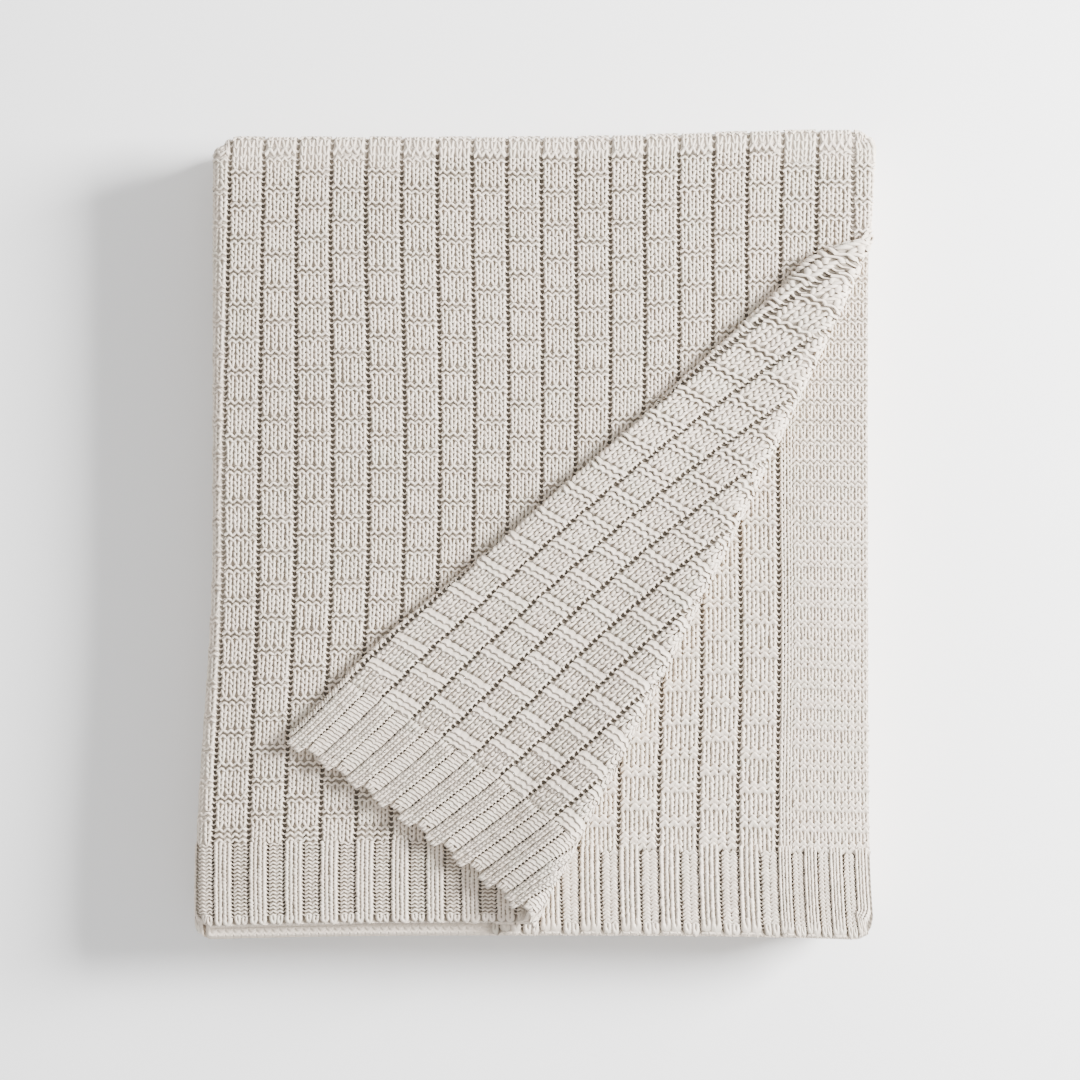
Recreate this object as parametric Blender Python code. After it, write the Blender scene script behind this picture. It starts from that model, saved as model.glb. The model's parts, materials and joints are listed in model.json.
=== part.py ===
"""A knitted throw, folded in four across and in four along, with one corner of its top pair turned back.

The throw is one piece of cloth. It is first cut out flat, as a sheet with the lines that its folds and ribs
need, then it is given its thickness, and then every point is carried to its place in the folded throw.
Across the width the cloth makes a strip of four layers: its first fold lies inside its second. Along the
length that strip goes back and forth four times. Metres, +Z up, hems towards -Y, the long folds at +Y and -X.
"""

import math
from collections import namedtuple

import bmesh
import bpy
import numpy as np

MM = 0.001

# Cloth
THICKNESS = 2.0 * MM
PITCH = 3.0 * MM  # from the middle of one layer to the middle of the next
STRIP = 4 * PITCH  # the height of the four layers that the width makes
RIB_RISE = 0.45 * MM
GROOVE = 0.4 * MM

# Folded footprint, before the outline is drawn uneven
LEFT_X = -149.5 * MM  # centre of the folds on the left
INNER_LEFT_X = LEFT_X + 1.5 * MM
RIGHT_X = 159.3 * MM  # centre of the fold on the right
UPPER_SIDE_X = 160.8 * MM  # the two side edges of the cloth, one above the other
LOWER_SIDE_X = 158.8 * MM
HEM_Y = -186.5 * MM
LOWER_HEM_Y = -188.0 * MM  # the other hem, at the bottom of the pile
FAR_Y = 180.9 * MM  # centre of the upper fold at the back
LOWER_FAR_Y = 178.9 * MM
NEAR_Y = -180.7 * MM  # centre of the fold at the front
HEM_STAGGER = 7.2 * MM  # how far the lower pair's hem shows past the upper pair's

# Knitted pattern
COLUMN = 16.42 * MM  # from one groove to the next
FIRST_GROOVE = 3.8 * MM  # from the start of the top layer
COLUMN_PAST_FOLD = 2.4 * MM  # from the first fold to the second layer's first groove
TURNED_WIDTH = 187 * MM  # how far the turned corner reaches along the hem
UNDER_COLUMN = 18.6 * MM  # the layer under the turned corner is stretched sideways
HEM_DEPTH = 39.6 * MM
RIB_CREST = 3.6 * MM  # from a groove to the crest of the rib beside it
RIB_FOOT = 7.2 * MM
BORDER_WIDTH = 43.5 * MM
RIDGE = 9.6 * MM  # from one ridge of the side border to the next
BORDER_RIB = 12.0 * MM  # the ribs under the side border stand closer
HEM_STEP = 2.5 * MM  # the ribs run out over this length
LINE_WIDTH = 1.0 * MM  # lines of the pattern closer than this to a limit count as on it

# Turned corner: the line that it turns about, from the right edge to the hem
TURN_TOP = (156.4 * MM, 140.9 * MM)
TURN_HEM = (-9.2 * MM, -187.1 * MM)
TURN_BOW = 2.6 * MM  # how far the line bows towards the corner that turns
TURN_RADIUS_TOP = 1.0 * MM  # inside radius of the turn, which opens towards the hem
TURN_RADIUS_HEM = 3.2 * MM
TURN_SHEAR = 0.32  # how much the knit of the flap is pulled along the turn
TURN_PARTS = 6
FLAP_GAP = 1.3 * MM
FLAP_SETTLES = 34.0 * MM  # the flap comes down on the throw over this width
FLAP_DRAW = 15.4 * MM  # how much wider the flap lies than the cloth it takes, near its top
DRAW_MOST = 1.6  # and at most this many times that cloth
DRAW_STARTS = -8 * MM  # along the turn
DRAW_FULL = 4 * MM
DRAW_HOLDS = 0.61  # as shares of the way along the turn
DRAW_ENDS = 0.87
FLAP_FLEX = 10 * MM  # the cloth past the turn still bends over this width

# Unevenness of the lie
LEAN_LEFT = 8.2 * MM
LEAN_ENDS = 14 * MM  # this far from the hem the left side stops leaning
RISE_FAR = 3.4 * MM
HEM_SAG = 2.4 * MM
FLARE_RIGHT = 2.8 * MM
CORNER_ROUND = 12.0 * MM  # radius of the pile's corners in plan
CORNER_SPAN = 14.0 * MM  # the cloth has lines for them over this far
CORNER_LINES = (3.5 * MM, 9.0 * MM)  # how far in from a side or hem those lines lie
DROOP = 0.03
DROOP_REACH = 30.0 * MM
FOLD_OUT = 7 * MM  # the folds stand about this far out of the runs between them
SWELL = 0.9 * MM
SWELL_ACROSS = 31 * MM
SWELL_ALONG = 41 * MM
SWELL_SKEW = 70 * MM

Run = namedtuple("Run", "name start end height side")
Turn = namedtuple("Turn", "name centre height radius outside start_deg sweep_deg length")

# The strip's section across the width: x and height above the strip's underside. The right side of the cloth
# is on the side of each row's sign.
ACROSS = [
    Run("bottom_layer", LOWER_SIDE_X, LEFT_X, 0.5 * PITCH, -1),
    Turn("outer_fold", LEFT_X, 2.0 * PITCH, 1.5 * PITCH, 1, -90, -180, math.pi * 1.5 * PITCH),
    Run("top_layer", LEFT_X, RIGHT_X, 3.5 * PITCH, 1),
    Turn("first_fold", RIGHT_X, 3.0 * PITCH, 0.5 * PITCH, 1, 90, -180, math.pi * 0.5 * PITCH),
    Run("second_layer", RIGHT_X, INNER_LEFT_X, 2.5 * PITCH, -1),
    Turn("inner_fold", INNER_LEFT_X, 2.0 * PITCH, 0.5 * PITCH, -1, 90, 180, math.pi * 0.5 * PITCH),
    Run("third_layer", INNER_LEFT_X, UPPER_SIDE_X, 1.5 * PITCH, 1),
]

# The way of the strip along the length: y and z of its underside.
ALONG = [
    Run("upper_pass", HEM_Y, FAR_Y, 3 * STRIP, 1),
    Turn("upper_back_fold", FAR_Y, 3 * STRIP, 0.0, 1, 90, -180, math.pi * 2 * PITCH),
    Run("second_pass", FAR_Y, NEAR_Y, 3 * STRIP, -1),
    Turn("front_fold", NEAR_Y, 2 * STRIP, STRIP, -1, 90, 180, math.pi * 2 * PITCH),
    Run("third_pass", NEAR_Y, LOWER_FAR_Y, STRIP, 1),
    Turn("lower_back_fold", LOWER_FAR_Y, STRIP, 0.0, 1, 90, -180, math.pi * 2 * PITCH),
    Run("lowest_pass", LOWER_FAR_Y, LOWER_HEM_Y, STRIP, -1),
]

MIDDLE_X = 0.5 * (LEFT_X + RIGHT_X)
SIDES = (LEFT_X - 5.5 * MM, RIGHT_X + 2.5 * MM)  # where the pile ends on the left and right, its folds with it
ENDS = (HEM_Y, FAR_Y + STRIP)
UNDERSIDE = 0.5 * (PITCH - THICKNESS)  # the lowest layer lies on the ground
SNAP = 0.25 * MM  # a line this close to a corner of a face goes through the corner
PILE = 4 * STRIP - 2 * UNDERSIDE


def length_of(row):
    """The length of cloth that a row of a path takes."""
    return abs(row.end - row.start) if isinstance(row, Run) else row.length


def stations(path):
    """Where each row of a path starts, by name, with the path's end under "end"."""
    found, place = {}, 0.0
    for row in path:
        found[row.name] = place
        place += length_of(row)
    found["end"] = place
    return found


U = stations(ACROSS)
V = stations(ALONG)


def follow(path, place, offset):
    """The two coordinates of points at that place along a path, offset to its outer side."""
    first, second = np.zeros_like(place), np.zeros_like(place)
    starts = stations(path)
    place = np.clip(place, 0, starts["end"])
    for row in path:
        share = (place - starts[row.name]) / length_of(row)
        here = (share >= 0) & (share <= 1)
        share = share[here]
        if isinstance(row, Run):
            first[here] = row.start + share * (row.end - row.start)
            second[here] = row.height + row.side * offset[here]
        else:
            angle = np.radians(row.start_deg + row.sweep_deg * share)
            radius = row.radius + row.outside * offset[here]
            first[here] = row.centre + radius * np.cos(angle)
            second[here] = row.height + radius * np.sin(angle)
    return first, second


def smooth(share):
    """0 below 0, 1 above 1, and a soft step between."""
    share = np.clip(share, 0.0, 1.0)
    return share * share * (3 - 2 * share)


def stagger_hems(y, height, v):
    """The lower pair of layers starts a little before the upper pair, so that its hem shows."""
    lower = 1 - smooth(height / PITCH - 1.5)
    fade = 1 - smooth(v / (FAR_Y - HEM_Y))
    return y - HEM_STAGGER * lower * fade


def draw_outline(x, y):
    """The lie of a real throw in plan: the left side leans out at the hem, the back rises to the right, the right
    side flares at its ends, and the corners are round."""
    width, depth = RIGHT_X - LEFT_X, FAR_Y - HEM_Y
    from_right = np.clip((RIGHT_X - x) / width, 0, 1)
    from_hem = np.clip((y - HEM_Y) / depth, 0, 1)
    lean = smooth(y / (HEM_Y + LEAN_ENDS))
    flare = (y / (0.5 * depth)) ** 6 * (1 - from_right) ** 2
    x_new = x - LEAN_LEFT * lean * from_right + FLARE_RIGHT * flare
    rise = RISE_FAR * smooth(x / (0.9 * RIGHT_X)) * from_hem
    sag = HEM_SAG * np.abs(x / RIGHT_X) ** 3 * (1 - from_hem)
    y_new = y + rise - sag
    return x_new, y_new


def into_corner(place, limits):
    """How far places lie inside the band along the nearer of two limits that the corners take, with a sign."""
    low, high = limits
    return np.maximum(place - high + CORNER_ROUND, 0) - np.maximum(low + CORNER_ROUND - place, 0)


def round_corners(x, y, square):
    """Draws the corners of the pile in to an arc, but for those that stay square."""
    side, end = into_corner(x, SIDES), into_corner(y, ENDS)
    arc = np.maximum(np.abs(side), np.abs(end)) / np.maximum(np.hypot(side, end), SNAP)
    drawn = np.where((side != 0) & (end != 0) & ~square, 1 - arc, 0)
    return x - side * drawn, y - end * drawn


def turn_axes():
    """The turn line's length, and unit vectors along it and across it, towards the corner that turns."""
    run = np.array(TURN_HEM) - np.array(TURN_TOP)
    length = float(np.hypot(*run))
    along = run / length
    return length, along, np.array([-along[1], along[0]])


def draw_out(a, share, bow):
    """How many times wider the turned corner lies than the cloth it takes, at places along the turn line."""
    _, along, _ = turn_axes()
    fold_edge = (a * along[0] - (RIGHT_X - TURN_TOP[0])) / along[1] - bow
    starts = smooth((a - DRAW_STARTS) / (DRAW_FULL - DRAW_STARTS))
    fades = 1 - smooth((share - DRAW_HOLDS) / (DRAW_ENDS - DRAW_HOLDS))
    return 1 + starts * np.minimum(FLAP_DRAW * fades / np.maximum(fold_edge, LINE_WIDTH), DRAW_MOST)


def turn_back(x, y, z, turned):
    """The corner of the top pair, carried round the turn line and laid on the throw."""
    length, along, across = turn_axes()
    from_x, from_y = x - TURN_TOP[0], y - TURN_TOP[1]
    a = from_x * along[0] + from_y * along[1]
    share = np.clip(a / length, 0, 1)
    bow = TURN_BOW * np.sin(math.pi * share)
    q = from_x * across[0] + from_y * across[1] - bow
    turned = turned & (q > 0)
    q = q * draw_out(a, share, bow)
    inside = TURN_RADIUS_TOP + (TURN_RADIUS_HEM - TURN_RADIUS_TOP) * share
    neutral = inside + PITCH
    angle = np.clip(q / neutral, 0, math.pi)
    radius = inside + (PILE - z)
    past = np.maximum(q - math.pi * neutral, 0)
    down = (2 * inside - FLAP_GAP) * smooth(past / FLAP_SETTLES)
    q_new = bow + radius * np.sin(angle) - past
    a_new = a + TURN_SHEAR * past
    z_new = PILE + inside - radius * np.cos(angle) - down
    x_new = TURN_TOP[0] + a_new * along[0] + q_new * across[0]
    y_new = TURN_TOP[1] + a_new * along[1] + q_new * across[1]
    return np.where(turned, x_new, x), np.where(turned, y_new, y), np.where(turned, z_new, z)


def settle(x, y, z):
    """The pile sinks a little towards its sides, and its upper layers swell and dip. Its underside stays flat."""
    half_x, half_y = 0.5 * (RIGHT_X - LEFT_X), 0.5 * (FAR_Y - HEM_Y)
    to_side = np.minimum(half_x + FOLD_OUT - np.abs(x - MIDDLE_X), half_y + FOLD_OUT - np.abs(y))
    edge = 1 - smooth(to_side / DROOP_REACH)
    wave = np.sin(x / SWELL_ACROSS + y / SWELL_SKEW) * np.cos(y / SWELL_ALONG - x / SWELL_SKEW)
    level = np.clip(z / PILE, 0, 1)
    return z * (1 - DROOP * edge) + SWELL * wave * level**2 * (1 - edge)


def fold(flat):
    """Carries points of the flat cloth, with their height off its middle, to their places in the folded throw."""
    u, v, w = flat[:, 0], flat[:, 1], flat[:, 2]
    x, height = follow(ACROSS, u, w)
    y, z = follow(ALONG, v, height)
    z = z - UNDERSIDE
    top_pair = (v <= V["upper_back_fold"]) & (u >= U["top_layer"]) & (u <= U["inner_fold"])
    x, y = round_corners(x, y, top_pair & (x > MIDDLE_X) & (y < 0))
    y = stagger_hems(y, height, v)
    x, y = draw_outline(x, y)
    x, y, z = turn_back(x, y, z, top_pair)
    return np.column_stack([x, y, settle(x, y, z)])


def cut(cloth, point, normal, region):
    """Cuts a line across the faces of the flat cloth that lie in a region (low u, high u, low v, high v)."""
    low_u, high_u, low_v, high_v = region
    faces = [
        f for f in cloth.faces
        if low_u < f.calc_center_median().x < high_u and low_v < f.calc_center_median().y < high_v
    ]
    edges = {e for f in faces for e in f.edges}
    verts = {p for f in faces for p in f.verts}
    bmesh.ops.bisect_plane(
        cloth,
        geom=faces + list(edges) + list(verts),
        dist=SNAP,
        plane_co=(*point, 0),
        plane_no=(*normal, 0),
    )


def cut_across(cloth, places, region):
    for place in places:
        cut(cloth, (place, 0), (1, 0), region)


def cut_along(cloth, places, region):
    for place in places:
        cut(cloth, (0, place), (0, 1), region)


def between(start, end, parts):
    """The places that divide a stretch into equal parts, with both ends."""
    return [start + (end - start) * i / parts for i in range(parts + 1)]


def cut_folds(cloth, whole):
    """Lines for every fold and run, right across the cloth."""
    parts = {
        "bottom_layer": 3, "outer_fold": 6, "top_layer": 3, "first_fold": 4,
        "second_layer": 3, "inner_fold": 4, "third_layer": 3,
        "upper_pass": 9, "upper_back_fold": 6, "second_pass": 3, "front_fold": 5,
        "third_pass": 3, "lower_back_fold": 6, "lowest_pass": 3,
    }
    for path, starts, cut_one_way in ((ACROSS, U, cut_across), (ALONG, V, cut_along)):
        for row in path:
            start = starts[row.name]
            cut_one_way(cloth, between(start, start + length_of(row), parts[row.name]), whole)


def grooves(start, end, first, pitch):
    """The grooves of the knit on one layer, from its first one on."""
    count = int((end - start - first) / pitch) + 1
    return [start + first + pitch * i for i in range(count)]


TOP_GROOVES = grooves(U["top_layer"], U["first_fold"] - BORDER_RIB, FIRST_GROOVE, COLUMN)
SECOND_GROOVES = grooves(U["second_layer"], U["second_layer"] + TURNED_WIDTH, COLUMN_PAST_FOLD, COLUMN)
BORDER_U = U["end"] - BORDER_WIDTH
UNDER_GROOVES = [BORDER_U - UNDER_COLUMN * i for i in range(int(TURNED_WIDTH / UNDER_COLUMN))]
BORDER_GROOVES = [BORDER_U + BORDER_RIB * i for i in range(1, int(BORDER_WIDTH / BORDER_RIB) + 1)]


def cut_knit(cloth):
    """Lines for the grooves and hem ribs of the layers that show, and for the ridges of the side border."""
    body = (HEM_DEPTH, V["upper_back_fold"])
    hem = (0, HEM_DEPTH)
    layers = (
        (TOP_GROOVES, (U["top_layer"], U["first_fold"])),
        (SECOND_GROOVES, (U["second_layer"], U["inner_fold"])),
        (UNDER_GROOVES + BORDER_GROOVES, (U["third_layer"], U["end"])),
    )
    for places, span in layers:
        cut_along(cloth, [HEM_DEPTH - HEM_STEP, HEM_DEPTH], (*span, 0, V["upper_back_fold"]))
        for place in places:
            if place < BORDER_U + LINE_WIDTH:
                cut_across(cloth, [place, place + COLUMN / 2], (*span, *body))
            cut_across(cloth, [place, place + RIB_CREST, place + RIB_FOOT], (*span, *hem))
    ridges = int((V["upper_back_fold"] - HEM_DEPTH) / RIDGE)
    for i in range(ridges):
        start = HEM_DEPTH + RIDGE * i
        cut_along(cloth, between(start, start + RIDGE, 2), (BORDER_U, U["end"], *body))


def cut_corners(cloth):
    """Lines beside the hems at the sides of the pile, and beside its sides at the back, for its round corners."""
    back = (V["upper_back_fold"] - CORNER_SPAN, V["second_pass"] + CORNER_SPAN)
    sides = (
        (0, CORNER_SPAN),
        (U["outer_fold"] - CORNER_SPAN, U["top_layer"] + CORNER_SPAN),
        (U["end"] - CORNER_SPAN, U["end"]),
    )
    for low_u, high_u in sides:
        for inward in CORNER_LINES:
            cut_along(cloth, [inward], (low_u, high_u, 0, HEM_DEPTH))
            cut_along(cloth, [V["end"] - inward], (low_u, high_u, V["lowest_pass"], V["end"]))
    for inward in CORNER_LINES:
        cut_across(cloth, [inward], (0, U["outer_fold"], 0, HEM_DEPTH))
        cut_across(cloth, [U["first_fold"] - inward], (U["top_layer"], U["first_fold"], *back))
        cut_across(cloth, [U["end"] - inward], (U["third_layer"], U["end"], *back))


def cut_turn(cloth):
    """Lines along the turn of the corner, on both of its layers."""
    _, _, across = turn_axes()
    neutral = 0.5 * (TURN_RADIUS_TOP + TURN_RADIUS_HEM) + PITCH
    steps = between(0, neutral * math.pi, TURN_PARTS) + [neutral * math.pi + FLAP_FLEX]
    rows = (0, V["upper_back_fold"])
    for step in steps:
        x, y = TURN_TOP[0] + across[0] * step, TURN_TOP[1] + across[1] * step
        v = y - HEM_Y
        top_u = U["top_layer"] + x - LEFT_X
        second_u = U["second_layer"] + RIGHT_X - x
        cut(cloth, (top_u, v), across, (U["top_layer"], U["first_fold"], *rows))
        cut(cloth, (second_u, v), (-across[0], across[1]), (U["second_layer"], U["inner_fold"], *rows))
        edge_v = v - (RIGHT_X - x) * across[0] / across[1]
        cut_along(cloth, [edge_v], (U["first_fold"], U["second_layer"], *rows))


def relief(u, v):
    """How far the right side of the cloth stands off its mean face: hem ribs, grooves and border ridges."""
    rise = np.zeros_like(u)
    in_upper = v < V["upper_back_fold"] - LINE_WIDTH
    for place in TOP_GROOVES + SECOND_GROOVES + UNDER_GROOVES + BORDER_GROOVES:
        in_hem = v < HEM_DEPTH - LINE_WIDTH
        crest = np.clip(1 - np.abs(u - place - RIB_CREST) / (0.5 * RIB_FOOT), 0, 1)
        rise = np.maximum(rise, np.where(in_hem, RIB_RISE * crest, 0))
        if place < BORDER_U + LINE_WIDTH:
            in_groove = (np.abs(u - place) < 0.5 * LINE_WIDTH) & (v > HEM_DEPTH - LINE_WIDTH) & in_upper
            rise = np.where(in_groove, -GROOVE, rise)
    on_border = (u > BORDER_U + LINE_WIDTH) & (v > HEM_DEPTH + 0.5 * LINE_WIDTH) & in_upper
    phase = (v - HEM_DEPTH) / RIDGE
    return np.where(on_border, RIB_RISE * (0.5 - 0.5 * np.cos(2 * math.pi * phase)), rise)


def cut_out():
    """The flat cloth with all its lines, as triangles, before it has a thickness."""
    cloth = bmesh.new()
    bmesh.ops.create_grid(cloth, x_segments=1, y_segments=1, size=0.5)
    for point in cloth.verts:
        point.co.x = (point.co.x + 0.5) * U["end"]
        point.co.y = (point.co.y + 0.5) * V["end"]
    cut_folds(cloth, (0, U["end"], 0, V["end"]))
    cut_knit(cloth)
    cut_turn(cloth)
    cut_corners(cloth)
    bmesh.ops.triangulate(cloth, faces=cloth.faces[:])
    return cloth


def thicken(cloth):
    """Gives the flat cloth its thickness, half on each side of its middle, and raises the knit on its right side."""
    bmesh.ops.solidify(cloth, geom=cloth.faces[:] + cloth.edges[:] + cloth.verts[:], thickness=THICKNESS)
    flat = np.array([p.co for p in cloth.verts])
    middle = 0.5 * (flat[:, 2].min() + flat[:, 2].max())
    upper = flat[:, 2] > middle
    flat[:, 2] = np.where(upper, THICKNESS / 2 + relief(flat[:, 0], flat[:, 1]), -THICKNESS / 2)
    return flat


def yarn_material():
    material = bpy.data.materials.new("oat_yarn")
    material.use_nodes = True
    shader = material.node_tree.nodes["Principled BSDF"]
    shader.inputs["Base Color"].default_value = (0.62, 0.57, 0.51, 1)
    shader.inputs["Roughness"].default_value = 0.95
    shader.inputs["Metallic"].default_value = 0.0
    return material


def make_blanket(collection):
    cloth = cut_out()
    folded = fold(thicken(cloth))
    for point, place in zip(cloth.verts, folded):
        point.co = place
    bmesh.ops.recalc_face_normals(cloth, faces=cloth.faces[:])
    mesh = bpy.data.meshes.new("blanket")
    cloth.to_mesh(mesh)
    cloth.free()
    mesh.materials.append(yarn_material())
    mesh.shade_smooth()
    mesh.set_sharp_from_angle(angle=math.radians(50))
    blanket = bpy.data.objects.new("blanket", mesh)
    collection.objects.link(blanket)


def main():
    for old in list(bpy.data.objects):
        bpy.data.objects.remove(old, do_unlink=True)
    collection = bpy.data.collections.new("folded_throw")
    bpy.context.scene.collection.children.link(collection)
    make_blanket(collection)


main()
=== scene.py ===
"""The looks of a folded knitted throw: its cloth, its stitches one by one, its yarn and its studio.

The file is laid out as an add-on and run as a script. The cloth is worked out flat, as u across the throw and
v along it from the hem, with w off its middle, and every point is then carried to its place in the folded
throw. Metres, +Z up.
"""

import json
import math
from collections import namedtuple

import bmesh
import bpy
import numpy as np
from bpy.props import FloatProperty, FloatVectorProperty, IntProperty, PointerProperty
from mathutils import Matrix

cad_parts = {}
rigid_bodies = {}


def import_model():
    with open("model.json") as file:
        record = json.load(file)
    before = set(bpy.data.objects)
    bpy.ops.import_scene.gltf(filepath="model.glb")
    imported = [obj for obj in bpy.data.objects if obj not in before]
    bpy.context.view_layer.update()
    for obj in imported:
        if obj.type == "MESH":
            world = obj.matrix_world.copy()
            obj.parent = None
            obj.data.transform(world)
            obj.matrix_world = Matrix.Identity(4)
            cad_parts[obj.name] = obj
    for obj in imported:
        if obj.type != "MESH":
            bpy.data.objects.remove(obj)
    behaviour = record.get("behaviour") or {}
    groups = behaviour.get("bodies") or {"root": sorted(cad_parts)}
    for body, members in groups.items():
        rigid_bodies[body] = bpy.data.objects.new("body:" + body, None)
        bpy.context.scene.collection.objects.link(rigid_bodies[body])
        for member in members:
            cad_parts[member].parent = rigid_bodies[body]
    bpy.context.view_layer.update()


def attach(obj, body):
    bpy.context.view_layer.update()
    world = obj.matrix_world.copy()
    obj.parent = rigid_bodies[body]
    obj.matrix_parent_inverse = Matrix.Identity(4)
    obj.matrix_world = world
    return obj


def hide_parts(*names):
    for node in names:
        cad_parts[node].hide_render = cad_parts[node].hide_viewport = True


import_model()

bl_info = {
    "name": "Folded knitted throw",
    "version": (1, 0, 0),
    "blender": (4, 5, 0),
    "location": "View3D > Sidebar > Throw",
    "description": "Knits a basket stitch throw over its folded form and lights it",
    "category": "Object",
}

MM = 0.001

# Cloth and its layers
PITCH = 3.0 * MM
STRIP = 4 * PITCH
THICKNESS = 2.0 * MM
LEFT_X = -149.5 * MM
INNER_LEFT_X = LEFT_X + 1.5 * MM
RIGHT_X = 159.3 * MM
UPPER_SIDE_X = 160.8 * MM
LOWER_SIDE_X = 158.8 * MM
HEM_Y = -186.5 * MM
LOWER_HEM_Y = -188.0 * MM
FAR_Y = 180.9 * MM
LOWER_FAR_Y = 178.9 * MM
NEAR_Y = -180.7 * MM
HEM_STAGGER = 7.2 * MM

# The line that the corner turns about, and the flap that it makes
TURN_TOP = (156.4 * MM, 140.9 * MM)
TURN_HEM = (-9.2 * MM, -187.1 * MM)
TURN_BOW = 2.6 * MM
TURN_RADIUS_TOP = 1.0 * MM
TURN_RADIUS_HEM = 3.2 * MM
TURN_SHEAR = 0.32
FLAP_GAP = 1.3 * MM
FLAP_SETTLES = 34.0 * MM
FLAP_DRAW = 15.4 * MM
FLAP_TOP = 0.88  # share of the folded edge, from the hem, along which the flap lies on the top
FLAP_HEM = 165 * MM
OUTLINE_STEPS = 60
DRAW_MOST = 1.6
DRAW_STARTS = -8 * MM
DRAW_FULL = 4 * MM
DRAW_HOLDS = 0.61
DRAW_ENDS = 0.87

# Unevenness of the lie
LEAN_LEFT = 8.2 * MM
LEAN_ENDS = 14 * MM
RISE_FAR = 3.4 * MM
HEM_SAG = 2.4 * MM
FLARE_RIGHT = 2.8 * MM
FLARE_POWER = 6
SAG_POWER = 3
RISE_FULL = 0.9  # share of the way to the right side at which the back has risen in full
CORNER_ROUND = 12.0 * MM
CORNER_LEFT_HEM = 8.5 * MM  # the radius of the corner on the left at the hem
DROOP = 0.03
DROOP_REACH = 30.0 * MM
FOLD_OUT = 7 * MM
SWELL = 0.9 * MM
SWELL_ACROSS = 31 * MM
SWELL_ALONG = 41 * MM
SWELL_SKEW = 70 * MM

# Knit
COLUMN = 16.42 * MM
FIRST_GROOVE = 3.8 * MM
LADDER = 1.9 * MM  # width of the open wale between two columns
WALES = 4  # wales in a column
UNDER_COLUMN = 18.6 * MM
BORDER_WIDTH = 43.5 * MM
EDGE_WALES = 2  # the plain wales between the body and the side border
EDGE_WALE = 3.1 * MM
BORDER_WALE = 3.3 * MM
BORDER_COURSE = 2.37 * MM
BORDER_RIB = 12.0 * MM
HEM_DEPTH = 39.6 * MM
HEM_COURSES = 22
HEM_COURSE = HEM_DEPTH / HEM_COURSES
COURSE = 2.625 * MM
REPEAT = 6  # courses in one repeat of the basket
PURL_ROWS = 2

# Faces of the cloth under its stitches
BASE_TOP = 0.25 * MM
BASE_UNDER = -1.0 * MM
BASE_BARE = 1.0 * MM  # where no stitches lie on it
BASE_ON_FOLDS = 0.45 * MM  # how much nearer it comes where the knit is drawn round a fold
LADDER_DEEP = 0.8 * MM
RIB_RAISED = 0.7 * MM

# Painted shade on the cloth under its stitches, where the gaps of the knit fall in shade, from 0 bare to 1 in
# a ladder
SHADE_IN_LADDER = 1.0
SHADE_IN_BODY = 0.5
SHADE_IN_BORDER = 0.38
# folds that show from above take less painted shade, so they are painted paler
LESS_SHADE_ON_FOLDS = 0.35

Run = namedtuple("Run", "name start end height side")
Turn = namedtuple("Turn", "name centre height radius outside start_deg sweep_deg length")
Wander = namedtuple("Wander", "layer u v reach_u reach_v across along")

ACROSS = [
    Run("bottom_layer", LOWER_SIDE_X, LEFT_X, 0.5 * PITCH, -1),
    Turn("outer_fold", LEFT_X, 2.0 * PITCH, 1.5 * PITCH, 1, -90, -180, math.pi * 1.5 * PITCH),
    Run("top_layer", LEFT_X, RIGHT_X, 3.5 * PITCH, 1),
    Turn("first_fold", RIGHT_X, 3.0 * PITCH, 0.5 * PITCH, 1, 90, -180, math.pi * 0.5 * PITCH),
    Run("second_layer", RIGHT_X, INNER_LEFT_X, 2.5 * PITCH, -1),
    Turn("inner_fold", INNER_LEFT_X, 2.0 * PITCH, 0.5 * PITCH, -1, 90, 180, math.pi * 0.5 * PITCH),
    Run("third_layer", INNER_LEFT_X, UPPER_SIDE_X, 1.5 * PITCH, 1),
]

ALONG = [
    Run("upper_pass", HEM_Y, FAR_Y, 3 * STRIP, 1),
    Turn("upper_back_fold", FAR_Y, 3 * STRIP, 0.0, 1, 90, -180, math.pi * 2 * PITCH),
    Run("second_pass", FAR_Y, NEAR_Y, 3 * STRIP, -1),
    Turn("front_fold", NEAR_Y, 2 * STRIP, STRIP, -1, 90, 180, math.pi * 2 * PITCH),
    Run("third_pass", NEAR_Y, LOWER_FAR_Y, STRIP, 1),
    Turn("lower_back_fold", LOWER_FAR_Y, STRIP, 0.0, 1, 90, -180, math.pi * 2 * PITCH),
    Run("lowest_pass", LOWER_FAR_Y, LOWER_HEM_Y, STRIP, -1),
]

MIDDLE_X = 0.5 * (LEFT_X + RIGHT_X)
SIDES = (LEFT_X - 5.5 * MM, RIGHT_X + 2.5 * MM)  # where the pile ends, its folds with it
ENDS = (HEM_Y, FAR_Y + STRIP)
UNDERSIDE = 0.5 * (PITCH - THICKNESS)
PILE = 4 * STRIP - 2 * UNDERSIDE


# Fold map

def length_of(row):
    """The length of cloth that a row of a path takes."""
    return abs(row.end - row.start) if isinstance(row, Run) else row.length


def stations(path):
    """Where each row of a path starts, by name, with the path's end under "end"."""
    found, place = {}, 0.0
    for row in path:
        found[row.name] = place
        place += length_of(row)
    found["end"] = place
    return found


U = stations(ACROSS)
V = stations(ALONG)
BORDER_U = U["end"] - BORDER_WIDTH


def follow(path, place, offset):
    """The two coordinates of points at that place along a path, offset to its outer side."""
    first, second = np.zeros_like(place), np.zeros_like(place)
    starts = stations(path)
    names = [row.name for row in path]
    edges = np.array([starts[name] for name in names[1:]])
    which = np.searchsorted(edges, place, side="right")
    for number, row in enumerate(path):
        here = which == number
        share = (place[here] - starts[row.name]) / length_of(row)
        if isinstance(row, Run):
            first[here] = row.start + share * (row.end - row.start)
            second[here] = row.height + row.side * offset[here]
        else:
            angle = np.radians(row.start_deg + row.sweep_deg * share)
            radius = row.radius + row.outside * offset[here]
            first[here] = row.centre + radius * np.cos(angle)
            second[here] = row.height + radius * np.sin(angle)
    return first, second


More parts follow.
